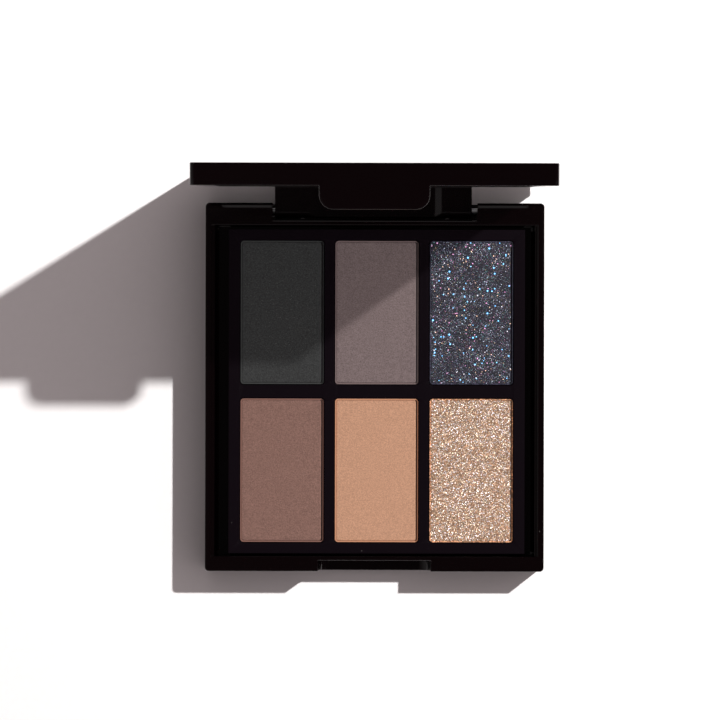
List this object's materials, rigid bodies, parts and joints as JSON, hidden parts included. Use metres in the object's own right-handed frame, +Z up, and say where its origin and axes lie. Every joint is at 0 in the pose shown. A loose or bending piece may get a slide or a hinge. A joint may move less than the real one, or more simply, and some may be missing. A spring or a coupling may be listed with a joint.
{
  "type": "eyeshadow palette",
  "caption": "Compact eyeshadow palette, 68 by 74 mm: gloss black hinged case with mirror lid and thumb tab, and six pressed powder pans in a matte tray.",
  "frame": {"origin": "Middle of the flat underside of the base, on the surface that the palette stands on.", "axes": "+X to the right of a user who faces the thumb recess, +Y to the rear where the hinge is, +Z up from the underside. The lid stands open."},
  "size_m": [0.068, 0.0817, 0.0773],
  "materials": {
    "case_plastic": "high gloss moulded black, slightly warm",
    "tray_plastic": "fine matte black with a faint violet cast",
    "pin_steel": "drawn steel wire",
    "label_film": "blank satin label film",
    "mirror_glass": "silvered float glass",
    "tape_foam": "white double-sided foam tape",
    "pan_tin": "pressed tinplate, dusted with powder",
    "pan_glue": "translucent hot-melt dot",
    "powder_charcoal": "pressed matte charcoal powder",
    "powder_taupe": "pressed matte taupe powder",
    "powder_navy_glitter": "pressed violet-black powder with multicoloured glitter",
    "powder_brown": "pressed matte brown powder",
    "powder_tan": "pressed matte tan powder",
    "powder_gold_glitter": "pressed champagne powder with fine glitter"
  },
  "bodies": {
    "base": {"base_shell": "case_plastic", "pan_tray": "tray_plastic", "hinge_pin_left": "pin_steel", "hinge_pin_right": "pin_steel", "underside_label": "label_film", "pan_rear_left": "pan_tin", "powder_rear_left": "powder_charcoal", "glue_rear_left": "pan_glue", "pan_rear_middle": "pan_tin", "powder_rear_middle": "powder_taupe", "glue_rear_middle": "pan_glue", "pan_rear_right": "pan_tin", "powder_rear_right": "powder_navy_glitter", "glue_rear_right": "pan_glue", "pan_front_left": "pan_tin", "powder_front_left": "powder_brown", "glue_front_left": "pan_glue", "pan_front_middle": "pan_tin", "powder_front_middle": "powder_tan", "glue_front_middle": "pan_glue", "pan_front_right": "pan_tin", "powder_front_right": "powder_gold_glitter", "glue_front_right": "pan_glue"},
    "lid": {"lid_shell": "case_plastic", "lid_mirror": "mirror_glass", "mirror_tape": "tape_foam"}
  },
  "joints": [
    {"name": "lid_hinge", "type": "hinge", "parent": "base", "child": "lid", "pos_m": [0, 0.03545, 0.00455], "axis": [-1, 0, 0], "range_deg": [-87.5, 17.5]}
  ]
}
